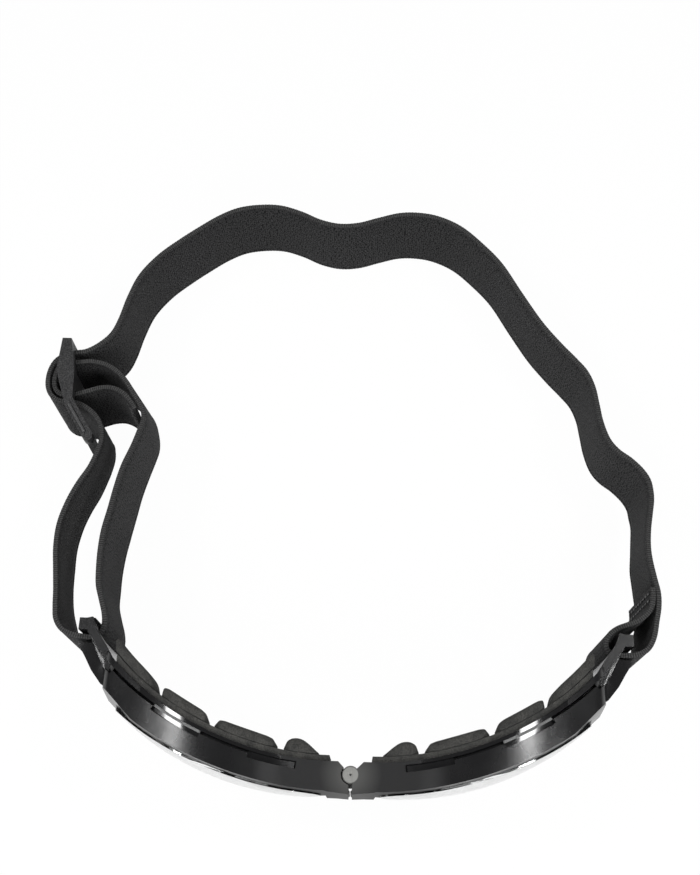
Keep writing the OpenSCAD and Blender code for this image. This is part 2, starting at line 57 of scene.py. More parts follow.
camera_data = bpy.data.cameras.new("camera")
camera_data.lens = CAMERA_LENS
camera_data.sensor_width = SENSOR_WIDTH
camera_data.clip_start = NEAREST_SEEN
camera = bpy.data.objects.new("camera", camera_data)
camera.location = CAMERA_PLACE
camera.rotation_euler = (Matrix.Rotation(CAMERA_HEADING, 3, "Z")
                         @ Matrix.Rotation(CAMERA_PITCH, 3, "X")
                         @ Matrix.Rotation(CAMERA_ROLL, 3, "Z")).to_euler()
bpy.context.scene.collection.objects.link(camera)
bpy.context.scene.camera = camera
bpy.context.scene.view_settings.view_transform = "Standard"

# Floor
# A white table top. It shows white to the camera, in gloss and through the lenses,
# and a share of plain diffuse white keeps the soft shadow of the goggles on it.
FLOOR_SIZE = 6
FLOOR_HEIGHT = -0.0004
FLOOR_GLOW = 0.975

bpy.ops.object.select_all(action="DESELECT")
bpy.ops.mesh.primitive_plane_add(size=FLOOR_SIZE, location=(0, 0, FLOOR_HEIGHT))
floor = bpy.context.object
floor.name = "table_top"


def shader_of(material):
    """The one shader of a material."""
    return material.node_tree.nodes["Principled BSDF"]


def new_material(name, **values):
    """A material whose shader sockets hold the given values."""
    made = bpy.data.materials.new(name)
    made.use_nodes = True
    for socket, value in values.items():
        shader_of(made).inputs[socket.replace("_", " ")].default_value = value
    return made


def add_node(material, kind, **values):
    """A node whose sockets hold the given values; a plain setting keeps its own name."""
    made = material.node_tree.nodes.new(kind)
    for name, value in values.items():
        if hasattr(made, name):
            setattr(made, name, value)
        else:
            made.inputs[name.replace("_", " ")].default_value = value
    return made


def join(material, source, target):
    """Joins an output to an input."""
    material.node_tree.links.new(source, target)


table_white = new_material("table_white", Base_Color=(0.86, 0.86, 0.86, 1), Roughness=0.9)
light_path = add_node(table_white, "ShaderNodeLightPath")
glow = add_node(table_white, "ShaderNodeEmission", Strength=1.0)
seen = add_node(table_white, "ShaderNodeMath", operation="ADD", use_clamp=True)
seen_through = add_node(table_white, "ShaderNodeMath", operation="ADD", use_clamp=True)
share = add_node(table_white, "ShaderNodeMath", operation="MULTIPLY")
share.inputs[1].default_value = FLOOR_GLOW
mix = add_node(table_white, "ShaderNodeMixShader")
join(table_white, light_path.outputs["Is Camera Ray"], seen.inputs[0])
join(table_white, light_path.outputs["Is Glossy Ray"], seen.inputs[1])
join(table_white, seen.outputs[0], seen_through.inputs[0])
join(table_white, light_path.outputs["Is Transmission Ray"], seen_through.inputs[1])
join(table_white, seen_through.outputs[0], share.inputs[0])
join(table_white, share.outputs[0], mix.inputs["Fac"])
join(table_white, shader_of(table_white).outputs[0], mix.inputs[1])
join(table_white, glow.outputs[0], mix.inputs[2])
join(table_white, mix.outputs[0],
     table_white.node_tree.nodes["Material Output"].inputs["Surface"])
floor.data.materials.append(table_white)

# Light
# A dim room round the table and small soft boxes left, right and in front, which draw the
# highlights on the brow of each frame and on the bridge. The two fills only light dull faces.
ROOM_LIGHT = 0.15
# Name, place, what it aims at, width and depth, power
LIGHTS = [
    ("soft_left", (-0.38, -0.01, 0.55), (-0.045, -0.093, 0.057), (0.12, 0.12), 1.4),
    ("soft_right", (0.35, -0.01, 0.55), (0.06, -0.093, 0.057), (0.12, 0.12), 1.4),
    ("soft_bridge", (0.0, -0.55, 0.45), (0.007, -0.1, 0.05), (0.1, 0.1), 0.02),
    ("fill_front", (0.0, -0.55, 0.45), (0, 0.05, 0.02), (0.5, 0.3), 3.4),
    ("fill_above", (0.0, 0.1, 0.8), (0, 0.02, 0.02), (0.6, 0.6), 1.6),
]

world = bpy.data.worlds.new("white_room")
bpy.context.scene.world = world
world.use_nodes = True
room = world.node_tree.nodes["Background"]
room.inputs["Color"].default_value = (1, 1, 1, 1)
room_path = world.node_tree.nodes.new("ShaderNodeLightPath")
room_level = world.node_tree.nodes.new("ShaderNodeMapRange")
room_level.inputs["To Min"].default_value = ROOM_LIGHT
room_level.inputs["To Max"].default_value = 1
world.node_tree.links.new(room_path.outputs["Is Camera Ray"], room_level.inputs["Value"])
world.node_tree.links.new(room_level.outputs["Result"], room.inputs["Strength"])

for name, place, aim, size, power in LIGHTS:
    lamp = bpy.data.lights.new(name, "AREA")
    lamp.shape = "RECTANGLE"
    lamp.size, lamp.size_y = size
    lamp.energy = power
    lamp_object = bpy.data.objects.new(name, lamp)
    lamp_object.location = place
    lamp_object.visible_glossy = not name.startswith("fill")
    lamp_object.rotation_euler = (Vector(place) - Vector(aim)).to_track_quat("Z", "Y").to_euler()
    bpy.context.scene.collection.objects.link(lamp_object)

# Strap
# One length of black woven elastic, 30 mm wide. It is sewn round the bar of the right frame,
# runs round the back, through the slider, round the left bar and back to the slider, where
# its end is sewn to itself.
HINGE_AT = Vector((7.15, -103.3))
STRAP_WIDTH = 30
STRAP_LIFT = 14
STATION_STEP = 0.3
# X and Y from the hinge pin in millimetres, share of the lift, lean of the lower edge
ROUTE = [
    (93.2, 60.5, 0.96, 0), (93.1, 57.2, 0.97, 0), (92.2, 53.9, 0.98, 0),
    (90, 51.2, 1, 0), (87.4, 49.4, 1, 0), (84.4, 48.2, 1, 0), (81, 46.8, 1, 0),
    (78.4, 44.6, 1, 0), (77.3, 41.6, 1, 0), (78.6, 39.1, 1, 0), (82.4, 38.6, 1, 0),
    (86.6, 39, 1, 0), (90, 40.8, 1, 0),
    (92.2, 44.4, 1, 0), (93.6, 49.8, 0.98, 0), (94.7, 54.5, 0.95, 0),
    (95, 59, 0.92, 0.5), (94.4, 64, 0.87, 1), (93.8, 70, 0.8, 1.5), (93.7, 75, 0.76, 1.5),
    (94.5, 81, 0.68, 1.5), (95.8, 87, 0.6, 1), (96.9, 92, 0.53, 0.5), (97.2, 96, 0.47, 0),
    (96.8, 100, 0.42, 0),
    (95, 103.8, 0.37, 0), (91.8, 107.7, 0.32, 0), (87.8, 111.4, 0.26, 0),
    (85, 116, 0.2, 0), (83.3, 123, 0.12, 0), (82.5, 130, 0.07, 0), (81.6, 137, 0.03, 0),
    (79.5, 143, 0.01, 0), (76, 147.8, 0, 0), (70.4, 154.4, 0, 0), (64, 163, 0, 0),
    (57, 175, 0, 0), (50, 187.5, 0, 0), (42.5, 196.5, 0, 0), (35, 203.5, 0, 0),
    (27, 207.6, 0, 0), (19.5, 209.1, 0, 0), (12, 208.8, 0, 0),
    (4, 206.4, 0, 0), (-3.5, 203.9, 0, 0),
    (-11, 203.2, 0, 0), (-18.5, 204.9, 0, 0), (-26, 208.4, 0, 0),
    (-34, 210.9, 0, 0), (-42, 211, 0, 0), (-50, 209.4, 0, 0), (-57, 205.7, 0, 0),
    (-64, 200.4, 0, 0), (-71, 194.4, 0.01, 0), (-78.2, 187, 0.05, 0),
    (-84, 178, 0.1, 0), (-87, 168, 0.17, 0), (-89, 158, 0.22, 0),
    (-91.2, 151.6, 0.25, 0), (-95, 147, 0.28, 0),
    (-99.2, 144.2, 0.286, 0), (-103, 143.4, 0.286, 0), (-106.6, 142.4, 0.286, 0),
    (-109.6, 140, 0.286, 0), (-111.1, 136.6, 0.286, 0), (-111.5, 132.8, 0.286, 0),
    (-111, 129.2, 0.286, 0), (-109.3, 126.2, 0.286, 0), (-106.6, 124.4, 0.286, 0),
    (-103.4, 123.9, 0.286, 0),
    (-100, 123.5, 0.286, 0), (-97, 122.2, 0.29, 0), (-93.8, 119.8, 0.3, 0.6),
    (-91.2, 116.6, 0.33, -0.9), (-89.8, 113, 0.36, -2), (-89.2, 109.4, 0.4, -3),
    (-89.7, 105.4, 0.43, -3.3), (-91.4, 98.6, 0.5, -3.3), (-94.3, 92, 0.57, -2.8),
    (-96.6, 85, 0.64, -2.3), (-98, 77, 0.72, -1.7), (-97.7, 69, 0.8, -1.5),
    (-96.3, 61, 0.88, -2.1), (-95, 54, 0.95, -2),
    (-94.2, 48.4, 1, -0.8), (-93.4, 44.4, 1, 0), (-91.2, 41.4, 1, 0),
    (-88, 39.9, 1, 0), (-84.4, 39.2, 1, 0), (-81, 39.2, 1, 0), (-78.8, 40.6, 1, 0),
    (-78.1, 43.4, 1, 0),
    (-78.6, 46.8, 1, 0), (-80.2, 51.4, 0.98, 0), (-81.8, 56, 0.94, 0.2),
    (-82.6, 61.5, 0.89, 0.6), (-83.1, 68, 0.83, 0.8), (-83.1, 75, 0.76, 1),
    (-82.2, 83, 0.68, 0.9), (-81.4, 91, 0.6, 1), (-80.2, 99, 0.52, 0.7),
    (-78, 107, 0.44, 0), (-76.6, 113.6, 0.37, 0), (-75.9, 117.6, 0.34, 0),
    (-76.6, 121.2, 0.31, 0.5), (-78.6, 124.8, 0.3, 1.7), (-81.2, 128.6, 0.286, 3),
    (-83.6, 132.2, 0.286, 3), (-87, 136, 0.286, 1.6), (-91.4, 138.8, 0.286, 0),
    (-96.6, 140, 0.286, 0), (-101, 139.6, 0.286, 0), (-104.4, 139.2, 0.286, 0),
    (-107, 138.3, 0.286, 0), (-108.6, 136.4, 0.286, 0), (-109.1, 133.4, 0.286, 0),
    (-108.9, 130.4, 0.286, 0), (-107.6, 127.9, 0.286, 0), (-105, 126.6, 0.286, 0),
    (-101, 126.9, 0.286, 0), (-97, 128.2, 0.286, 0), (-93, 129.6, 0.286, 0),
    (-89.2, 129.9, 0.286, 0), (-85.8, 128.8, 0.286, 0), (-83, 126.8, 0.286, 0),
    (-80.9, 124.2, 0.286, 0), (-79.3, 121.8, 0.286, 0),
]
# Half of the band's section, thickness and height: two ridges at each edge, a groove beside
# the selvedge, and a flat face between
HALF_SECTION = [
    (0, 0.2), (0.3, 0.02), (0.55, 0.04), (0.76, 0.3), (0.82, 0.75), (0.8, 1.15), (0.64, 1.45),
    (0.62, 1.7), (0.75, 2.0), (0.78, 5), (0.79, 11), (0.79, 19), (0.78, 25), (0.75, 28.0),
    (0.62, 28.3), (0.64, 28.55), (0.8, 28.85), (0.82, 29.25), (0.76, 29.7), (0.55, 29.96),
    (0.3, 29.98), (0, 29.8),
]
# Shift of the edge threads at each station in turn
EDGE_THREADS = [0, 0.07, 0.13, 0.07]
# Angles in degrees, over which an edge stays sharp in the shading
SHARP_EDGE = 40
SHARP_SELVEDGE = 50


def route_at(s):
    """Point of the route, its lift and its lean, on a smooth curve through the points."""
    i = min(int(s), len(ROUTE) - 2)
    t = s - i
    a, b, c, d = (ROUTE[max(0, min(len(ROUTE) - 1, k))] for k in range(i - 1, i + 3))
    return [0.5 * (2 * b[k] + (c[k] - a[k]) * t
                   + (2 * a[k] - 5 * b[k] + 4 * c[k] - d[k]) * t * t
                   + (3 * b[k] - a[k] - 3 * c[k] + d[k]) * t * t * t) for k in range(4)]


def from_hinge(x, y, z):
    """A place given from the foot of the hinge pin in millimetres."""
    return Vector((x + HINGE_AT.x, y + HINGE_AT.y, z)) / 1000


# Stations along the route, one every 0.3 mm
fine = [k / 50 for k in range(50 * (len(ROUTE) - 1) + 1)]
lengths = [0.0]
for k in range(1, len(fine)):
    p, q = route_at(fine[k - 1]), route_at(fine[k])
    lengths.append(lengths[-1] + math.hypot(q[0] - p[0], q[1] - p[1]))
stations = []
k = 0
for n in range(int(lengths[-1] / STATION_STEP) + 1):
    while k < len(fine) - 2 and lengths[k + 1] < n * STATION_STEP:
        k += 1
    span = max(lengths[k + 1] - lengths[k], 1e-9)
    stations.append(fine[k] + (fine[k + 1] - fine[k]) * (n * STATION_STEP - lengths[k]) / span)


def station_near(s):
    """Number of the station nearest to a place on the route."""
    return min(range(len(stations)), key=lambda n: abs(stations[n] - s))


def route_side(s):
    """Unit vector across the band, to the left of its run."""
    p, q = route_at(max(s - 0.05, 0)), route_at(min(s + 0.05, len(ROUTE) - 1))
    dx, dy = q[0] - p[0], q[1] - p[1]
    return Vector((-dy, dx)) / math.hypot(dx, dy)


def band(name, start, end):
    """A stretch of the elastic between two places on the route."""
    section = HALF_SECTION + [(-t, h) for t, h in HALF_SECTION[-2:0:-1]]
    first, last = station_near(start), station_near(end)
    points, faces, uvs = [], [], []
    for n in range(first, last + 1):
        x, y, lift, lean = route_at(stations[n])
        side = route_side(stations[n])
        thread = EDGE_THREADS[n % 4]
        for t, h in section:
            edge = -thread if h < 1 else thread if h > STRAP_WIDTH - 1 else 0
            low = max(lift, 0) * STRAP_LIFT
            points.append(from_hinge(x + side.x * t + lean * (1 - h / STRAP_WIDTH),
                                     y + side.y * t, low + h + edge))
    count = len(section)
    for n in range(last - first):
        for k in range(count):
            a, b = n * count + k, n * count + (k + 1) % count
            faces.append((a, b, b + count, a + count))
            low_uv, high_uv = (section[j % count] for j in (k, k + 1))
            for m, (t, h) in ((n, low_uv), (n, high_uv), (n + 1, high_uv), (n + 1, low_uv)):
                uvs.append(((first + m) * STATION_STEP / 1000, h / 1000))
    for cap in (range(count), range((last - first) * count, (last - first + 1) * count)):
        faces.append(tuple(cap))
        uvs += [(first * STATION_STEP / 1000 + section[j][0] / 1000, section[j][1] / 1000)
                for j in range(count)]
    mesh = bpy.data.meshes.new(name)
    mesh.from_pydata(points, [], faces)
    layer = mesh.uv_layers.new(name="cloth")
    for loop, uv in zip(layer.data, uvs):
        loop.uv = uv
    made = bpy.data.objects.new(name, mesh)
    bpy.context.scene.collection.objects.link(made)
    outward(made)
    smooth(made, SHARP_SELVEDGE)
    return made


def select_only(piece):
    """Makes a piece the only selected one and the active one."""
    bpy.ops.object.select_all(action="DESELECT")
    piece.select_set(True)
    bpy.context.view_layer.objects.active = piece


def outward(piece):
    """Turns every face of a closed piece outwards."""
    select_only(piece)
    bpy.ops.object.mode_set(mode="EDIT")
    bpy.ops.mesh.select_all(action="SELECT")
    bpy.ops.mesh.normals_make_consistent(inside=False)
    bpy.ops.object.mode_set(mode="OBJECT")


def smooth(piece, angle=SHARP_EDGE):
    """Shades a piece smooth, but not over edges sharper than the angle."""
    select_only(piece)
    bpy.ops.object.shade_smooth_by_angle(angle=math.radians(angle))


elastic = new_material("black_woven_elastic", Roughness=0.9, Sheen_Weight=0.03,
                       Sheen_Roughness=0.5, Specular_IOR_Level=0.12)
# The face is a field of small dark picks between the cords that run along the band
cloth_uv = add_node(elastic, "ShaderNodeUVMap", uv_map="cloth")
pick_scale = add_node(elastic, "ShaderNodeMapping", Scale=(1250, 1900, 1))
picks = add_node(elastic, "ShaderNodeTexVoronoi", voronoi_dimensions="2D", Scale=1.0,
                 Randomness=0.75)
cord_scale = add_node(elastic, "ShaderNodeMapping", Scale=(180, 1100, 1))
cords = add_node(elastic, "ShaderNodeTexNoise", noise_dimensions="2D", Scale=1.0, Detail=3.0)
pick_shade = add_node(elastic, "ShaderNodeValToRGB")
pick_shade.color_ramp.elements[0].color = (0.06, 0.06, 0.061, 1)
pick_shade.color_ramp.elements[1].position = 0.6
pick_shade.color_ramp.elements[1].color = (0.004, 0.004, 0.0043, 1)
fade = add_node(elastic, "ShaderNodeMix", data_type="RGBA", blend_type="MULTIPLY")
fade.inputs["Factor"].default_value = 0.55
cord_shade = add_node(elastic, "ShaderNodeMapRange", To_Min=0.55, To_Max=1.5)
lift_up = add_node(elastic, "ShaderNodeMath", operation="MULTIPLY_ADD")
lift_up.inputs[1].default_value = -0.8
weave_bump = add_node(elastic, "ShaderNodeBump", Strength=0.75, Distance=0.00016)
join(elastic, cloth_uv.outputs["UV"], pick_scale.inputs["Vector"])
join(elastic, cloth_uv.outputs["UV"], cord_scale.inputs["Vector"])
join(elastic, pick_scale.outputs["Vector"], picks.inputs["Vector"])
join(elastic, cord_scale.outputs["Vector"], cords.inputs["Vector"])
join(elastic, picks.outputs["Distance"], pick_shade.inputs["Fac"])
join(elastic, cords.outputs["Fac"], cord_shade.inputs["Value"])
join(elastic, pick_shade.outputs["Color"], fade.inputs["A"])
join(elastic, cord_shade.outputs["Result"], fade.inputs["B"])
# The woven edge is paler than the face, in small even loops with a dark groove beside them
edge_place = add_node(elastic, "ShaderNodeSeparateXYZ")
from_middle = add_node(elastic, "ShaderNodeMath", operation="SUBTRACT")
from_middle.inputs[1].default_value = STRAP_WIDTH / 2000
across_band = add_node(elastic, "ShaderNodeMath", operation="ABSOLUTE")
on_edge = add_node(elastic, "ShaderNodeMapRange", From_Min=0.0142, From_Max=0.0147,
                   To_Min=0.0, To_Max=1.0)
loops = add_node(elastic, "ShaderNodeTexWave", Scale=420.0, Distortion=3.0)
loop_shade = add_node(elastic, "ShaderNodeMapRange", To_Min=0.018, To_Max=0.06)
edge_tone = add_node(elastic, "ShaderNodeMix", data_type="RGBA")
join(elastic, cloth_uv.outputs["UV"], edge_place.inputs[0])
join(elastic, edge_place.outputs["Y"], from_middle.inputs[0])
join(elastic, from_middle.outputs[0], across_band.inputs[0])
join(elastic, across_band.outputs[0], on_edge.inputs["Value"])
join(elastic, cloth_uv.outputs["UV"], loops.inputs["Vector"])
join(elastic, loops.outputs["Fac"], loop_shade.inputs["Value"])
join(elastic, on_edge.outputs["Result"], edge_tone.inputs["Factor"])
join(elastic, fade.outputs["Result"], edge_tone.inputs["A"])
join(elastic, loop_shade.outputs["Result"], edge_tone.inputs["B"])
join(elastic, edge_tone.outputs["Result"], shader_of(elastic).inputs["Base Color"])
join(elastic, picks.outputs["Distance"], lift_up.inputs[0])
join(elastic, cords.outputs["Fac"], lift_up.inputs[2])
join(elastic, lift_up.outputs[0], weave_bump.inputs["Height"])
join(elastic, weave_bump.outputs["Normal"], shader_of(elastic).inputs["Normal"])

# Each stretch: its ends on the route, the solids it stands for, the body or bodies it lies on,
# and two places where it passes from one to the other. Only a stretch on one body rides with it.
STRETCHES = [
    ("elastic_right_loop", 0, 17, ["strap_right_end", "strap_right_loop"],
     ("right_half", "right_side"), ((84, 43), (90, 56))),
    ("elastic_right_side", 17, 29, ["strap_right_side"],
     ("right_side", "right_rear"), ((97.2, 97), (91, 109))),
    ("elastic_right_rear", 29, 34, ["strap_right_rear"],
     ("right_rear", "right_corner"), ((81.6, 137), (76, 148))),
    ("elastic_right_corner", 34, 38, ["strap_right_corner"],
     ("right_corner", "right_back"), ((61, 168), (53, 182))),
    ("elastic_back_right", 38, 43, ["strap_back_right"], ("right_back",), ()),
    ("elastic_back_seam", 43, 46.6, ["strap_back_seam"],
     ("middle_back", "seam_back"), ((-16, 204), (-6, 203))),
    ("elastic_back_middle", 46.6, 51, ["strap_back_middle"],
     ("left_back", "middle_back"), ((-41, 211), (-27, 209))),
    ("elastic_back_left", 51, 57, ["strap_back_left"],
     ("left_strands", "left_back"), ((-86, 171), (-80, 184.5))),
    ("elastic_rear_left", 57, 60, ["strap_rear_left"],
     ("left_strands", "slider_unit"), ((-89, 157), (-96, 146))),
    ("elastic_slider_pass", 60, 70, ["strap_slider_pass"], ("slider_unit",), ()),
    ("elastic_outer_strand", 70, 83, ["strap_outer_strand"],
     ("left_strands", "slider_unit"), ((-98, 66), (-90, 112))),
    ("elastic_left_loop", 83, 95, ["strap_left_loop"],
     ("left_half", "left_strands"), ((-84, 43), (-88.6, 55.5))),
    ("elastic_inner_strand", 95, 110, ["strap_inner_strand"],
     ("left_strands", "slider_unit"), ((-84, 64), (-78, 118))),
    ("elastic_slider_loop", 110, len(ROUTE) - 1, ["strap_slider_loop"], ("slider_unit",), ()),
]
for name, start, end, solids, bodies, turn in STRETCHES:
    stretch = band(name, start, end)
    stretch.data.materials.append(elastic)
    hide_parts(*solids)
    if turn:
        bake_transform(stretch)
    else:
        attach(stretch, *bodies)

# Frames
# Two half frames of black satin plastic, moulded in one piece each with the vents in the
# top wall, the strap bar at the temple and their share of the hinge knuckles. Every moulded
# edge is slightly rounded.
EDGE_ROUND = 0.0003
EDGE_ANGLE = 32
PIN_AT = (0.00715, -0.1033, 0)
HINGE_REACH = 0.0035
NEARLY_FLAT = 2
SAME_POINT = 2e-5


def merged_copy(node, name, flat=NEARLY_FLAT):
    """A copy of a solid's mesh with its triangles joined, and merged where it is flat, but for
    those round the hinge."""
    made = bpy.data.objects.new(name, bpy.data.objects[node].data.copy())
    bpy.context.scene.collection.objects.link(made)
    select_only(made)
    bpy.ops.object.mode_set(mode="EDIT")
    bpy.ops.mesh.select_all(action="SELECT")
    bpy.ops.mesh.remove_doubles(threshold=SAME_POINT)
    bpy.ops.mesh.dissolve_degenerate(threshold=SAME_POINT)
    bpy.ops.mesh.select_mode(type="FACE")
    bpy.ops.mesh.select_all(action="DESELECT")
    bpy.ops.object.mode_set(mode="OBJECT")
    for face in made.data.polygons:
        face.select = (face.center - Vector(PIN_AT)).xy.length > HINGE_REACH
    bpy.ops.object.mode_set(mode="EDIT")
    bpy.ops.mesh.dissolve_limited(angle_limit=math.radians(flat), delimit={"NORMAL"})
    bpy.ops.mesh.select_mode(type="VERT")
    bpy.ops.object.mode_set(mode="OBJECT")
    made.data.materials.clear()
    return made


def apply_modifier(piece, kind, **settings):
    """Adds a modifier with its settings to a piece and applies it at once."""
    select_only(piece)
    bpy.ops.object.modifier_add(type=kind)
    modifier = piece.modifiers[-1]
    for name, value in settings.items():
        setattr(modifier, name, value)
    bpy.ops.object.modifier_apply(modifier=modifier.name)


def round_edges(piece, width, angle=SHARP_EDGE, segments=2):
    """Rounds the edges that are sharper than the angle and evens out the shading."""
    apply_modifier(piece, "BEVEL", width=width, segments=segments, limit_method="ANGLE",
                   angle_limit=math.radians(angle), use_clamp_overlap=True)
    smooth(piece)
    apply_modifier(piece, "WEIGHTED_NORMAL")


# Fine grain of a mould, and broad patches where hands have polished it, for every plastic
mould_finish = bpy.data.node_groups.new("mould_finish", "ShaderNodeTree")
for name, direction, kind in (("Grain Scale", "INPUT", "Float"), ("Grain Depth", "INPUT", "Float"),
                              ("Patches", "OUTPUT", "Float"), ("Normal", "OUTPUT", "Vector")):
    mould_finish.interface.new_socket(name, in_out=direction, socket_type="NodeSocket" + kind)
finish_in = mould_finish.nodes.new("NodeGroupInput")
finish_out = mould_finish.nodes.new("NodeGroupOutput")
finish_place = mould_finish.nodes.new("ShaderNodeTexCoord")
finish_grain = mould_finish.nodes.new("ShaderNodeTexNoise")
finish_grain.inputs["Detail"].default_value = 3
finish_patches = mould_finish.nodes.new("ShaderNodeTexNoise")
finish_patches.inputs["Scale"].default_value = 90
finish_patches.inputs["Detail"].default_value = 4
finish_bump = mould_finish.nodes.new("ShaderNodeBump")
finish_bump.inputs["Distance"].default_value = 0.0001
for source, target in ((finish_place.outputs["Object"], finish_grain.inputs["Vector"]),
                       (finish_place.outputs["Object"], finish_patches.inputs["Vector"]),
                       (finish_in.outputs["Grain Scale"], finish_grain.inputs["Scale"]),
                       (finish_in.outputs["Grain Depth"], finish_bump.inputs["Strength"]),
                       (finish_grain.outputs["Fac"], finish_bump.inputs["Height"]),
                       (finish_patches.outputs["Fac"], finish_out.inputs["Patches"]),
                       (finish_bump.outputs["Normal"], finish_out.inputs["Normal"])):
    mould_finish.links.new(source, target)


def give_finish(plastic, grain, depth, smoothest, roughest):
    """Gives a plastic its moulded grain; the output is its roughness, patch by patch."""
    finish = add_node(plastic, "ShaderNodeGroup", node_tree=mould_finish, Grain_Scale=grain,
                      Grain_Depth=depth)
    gloss = add_node(plastic, "ShaderNodeMapRange", From_Min=0.3, From_Max=0.7,
                     To_Min=smoothest, To_Max=roughest)
    join(plastic, finish.outputs["Patches"], gloss.inputs["Value"])
    join(plastic, finish.outputs["Normal"], shader_of(plastic).inputs["Normal"])
    return gloss.outputs["Result"]


satin = new_material("black_satin_plastic", Specular_IOR_Level=0.45)
satin_gloss = give_finish(satin, 2600.0, 0.2, 0.22, 0.32)
place = add_node(satin, "ShaderNodeTexCoord")
# The top of the hinge carries a painted highlight in light grey, a fainter one round it, and the
# whole bridge is more matt than the brows
plan = add_node(satin, "ShaderNodeVectorMath", operation="MULTIPLY")
plan.inputs[1].default_value = (1, 1, 0)
from_pin = add_node(satin, "ShaderNodeVectorMath", operation="DISTANCE")
from_pin.inputs[1].default_value = PIN_AT
near_pin = add_node(satin, "ShaderNodeMapRange", From_Min=0.0024, From_Max=0.0021, To_Min=0.0,
                    To_Max=1.0)
height = add_node(satin, "ShaderNodeSeparateXYZ")
on_top = add_node(satin, "ShaderNodeMapRange", From_Min=0.0501, From_Max=0.0503, To_Min=0.0,
                  To_Max=1.0)
# Painted highlight: light grey on the top of the knuckle and a fainter grey round the pin
painted_knuckle_highlight = add_node(satin, "ShaderNodeMath", operation="MULTIPLY")
painted_pin_highlight = add_node(satin, "ShaderNodeMapRange", From_Min=0.009, From_Max=0.003, To_Min=0.0,
                To_Max=0.22)
painted_highlight_mask = add_node(satin, "ShaderNodeMath", operation="MAXIMUM")
matt_bridge = add_node(satin, "ShaderNodeMapRange", From_Min=0.019, From_Max=0.03, To_Min=0.62,
                       To_Max=0.2)
roughest = add_node(satin, "ShaderNodeMath", operation="MAXIMUM")
satin_tone_and_highlight = add_node(satin, "ShaderNodeMix", data_type="RGBA")
satin_tone_and_highlight.inputs["A"].default_value = (0.006, 0.006, 0.0065, 1)
satin_tone_and_highlight.inputs["B"].default_value = (0.2, 0.2, 0.19, 1)
join(satin, place.outputs["Object"], plan.inputs[0])
join(satin, plan.outputs[0], from_pin.inputs[0])
join(satin, from_pin.outputs["Value"], near_pin.inputs["Value"])
join(satin, place.outputs["Object"], height.inputs[0])
join(satin, height.outputs["Z"], on_top.inputs["Value"])
join(satin, near_pin.outputs["Result"], painted_knuckle_highlight.inputs[0])
join(satin, on_top.outputs["Result"], painted_knuckle_highlight.inputs[1])
join(satin, from_pin.outputs["Value"], painted_pin_highlight.inputs["Value"])
join(satin, painted_knuckle_highlight.outputs[0], painted_highlight_mask.inputs[0])
join(satin, painted_pin_highlight.outputs["Result"], painted_highlight_mask.inputs[1])
join(satin, from_pin.outputs["Value"], matt_bridge.inputs["Value"])
join(satin, satin_gloss, roughest.inputs[0])
join(satin, matt_bridge.outputs["Result"], roughest.inputs[1])
join(satin, roughest.outputs[0], shader_of(satin).inputs["Roughness"])
join(satin, painted_highlight_mask.outputs[0], satin_tone_and_highlight.inputs["Factor"])
join(satin, satin_tone_and_highlight.outputs["Result"], shader_of(satin).inputs["Base Color"])

polished = new_material("black_polished_plastic", Base_Color=(0.006, 0.006, 0.0065, 1),
                        Specular_IOR_Level=0.5)
join(polished, give_finish(polished, 900.0, 0.05, 0.07, 0.14),
     shader_of(polished).inputs["Roughness"])

# The fence and the ledges beside it are polished, from beside the bridge to the temple: they
# lie between two radii round the axis of each half, which leans in over the nose by the flare
ARC_AT = (8.2, 87.6, 57)
FLARE = math.radians(10.5)
POLISHED_RADII = (84.2, 87.3)
POLISHED_TO = 66
FACING_UP = 0.6


def on_ledge(face):
    """Tells whether a face looks up out of the fence or one of the ledges."""
    x, y, z = 1000 * face.center
    across = abs(x - HINGE_AT.x) - ARC_AT[0]
    turned = across * math.cos(FLARE) + (z - ARC_AT[2]) * math.sin(FLARE)
    radius = math.hypot(turned, y - HINGE_AT.y - ARC_AT[1])
    return (POLISHED_RADII[0] < radius < POLISHED_RADII[1] and face.normal.z > FACING_UP
            and 0 < across < POLISHED_TO - ARC_AT[0])


for side in ("left", "right"):
    shell = merged_copy("frame_" + side, "moulded_frame_" + side)
    shell.data.materials.append(satin)
    shell.data.materials.append(polished)
    for face in shell.data.polygons:
        face.material_index = 1 if on_ledge(face) else 0
    round_edges(shell, EDGE_ROUND, EDGE_ANGLE)
    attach(shell, side + "_half")
    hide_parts("frame_" + side)

# Lenses
# Clear moulded polycarbonate, 2 mm thick, curved with the frame and snapped into the seat at
# the front of each rim. Its gloss is dulled in faint patches, as by wiping.
LENS_FLAT = 0.2

clear = new_material("clear_polycarbonate", Base_Color=(0.97, 0.98, 0.98, 1), IOR=1.585,
                     Transmission_Weight=1.0)
place = add_node(clear, "ShaderNodeTexCoord")
smear = add_node(clear, "ShaderNodeTexNoise", Scale=60.0, Detail=5.0)
smear_gloss = add_node(clear, "ShaderNodeMapRange", From_Min=0.45, From_Max=0.75, To_Min=0.015,
                       To_Max=0.12)
join(clear, place.outputs["Object"], smear.inputs["Vector"])
join(clear, smear.outputs["Fac"], smear_gloss.inputs["Value"])
join(clear, smear_gloss.outputs["Result"], shader_of(clear).inputs["Roughness"])

for side in ("left", "right"):
    pane = merged_copy("lens_" + side, "clear_lens_" + side, LENS_FLAT)
    smooth(pane)
    pane.data.materials.append(clear)
    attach(pane, side + "_half")
    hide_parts("lens_" + side)

# Foam
# A thin foam base is glued along the rear flange of each rim, with eight soft moulded pads of
# open-cell foam on it, each rounded over at its ends and along its back.
BASE_ROUND = 0.00025
PAD_CELL = 0.0003
PADS = ("nose", "brow", "middle", "temple", "corner", "cheek", "lower_nose", "nose_side")
# Angle round the frame's arc that the temple pads reach, and how much they drop on the way
TEMPLE_END = math.radians(51)
TEMPLE_DROP = 0.4
